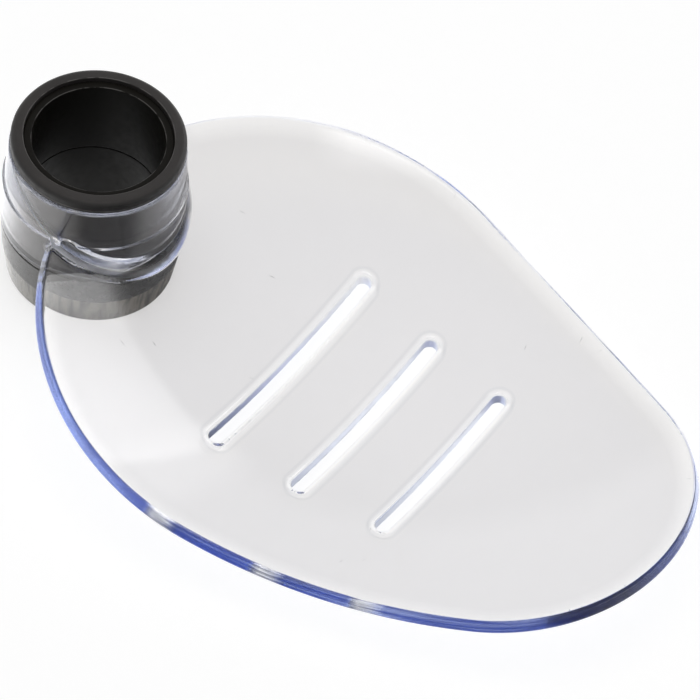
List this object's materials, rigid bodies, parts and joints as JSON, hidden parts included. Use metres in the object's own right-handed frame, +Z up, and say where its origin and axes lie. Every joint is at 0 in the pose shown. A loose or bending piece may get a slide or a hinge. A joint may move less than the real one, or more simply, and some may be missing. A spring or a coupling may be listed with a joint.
{
  "type": "soap dish",
  "caption": "Clear moulded soap dish, egg-shaped and concave with drain slots, whose round collar swivels on a flanged bush that slides on a shower rail.",
  "frame": {"origin": "on the rail's axis, at the lower face of the retaining ring", "axes": "+Z up along the rail, +X from the rail to the tray's far end, +Y across the tray"},
  "size_m": [0.1319, 0.0876, 0.0325],
  "materials": {
    "clear_acrylic": "clear, polished, faintly blue along its edges",
    "charcoal_bush": "fine matt, charcoal",
    "charcoal_ring": "satin, charcoal",
    "charcoal_upper_liner": "matt, near black",
    "charcoal_lower_liner": "matt, near black"
  },
  "bodies": {
    "bush": {"flanged_bush": "charcoal_bush", "retaining_ring": "charcoal_ring", "upper_liner": "charcoal_upper_liner", "lower_liner": "charcoal_lower_liner"},
    "dish": {"dish": "clear_acrylic"}
  },
  "joints": [
    {"name": "dish_swivel", "type": "hinge", "parent": "bush", "child": "dish", "pos_m": [0, 0, 0.0211], "axis": [0, 0, 1], "continuous": true}
  ]
}
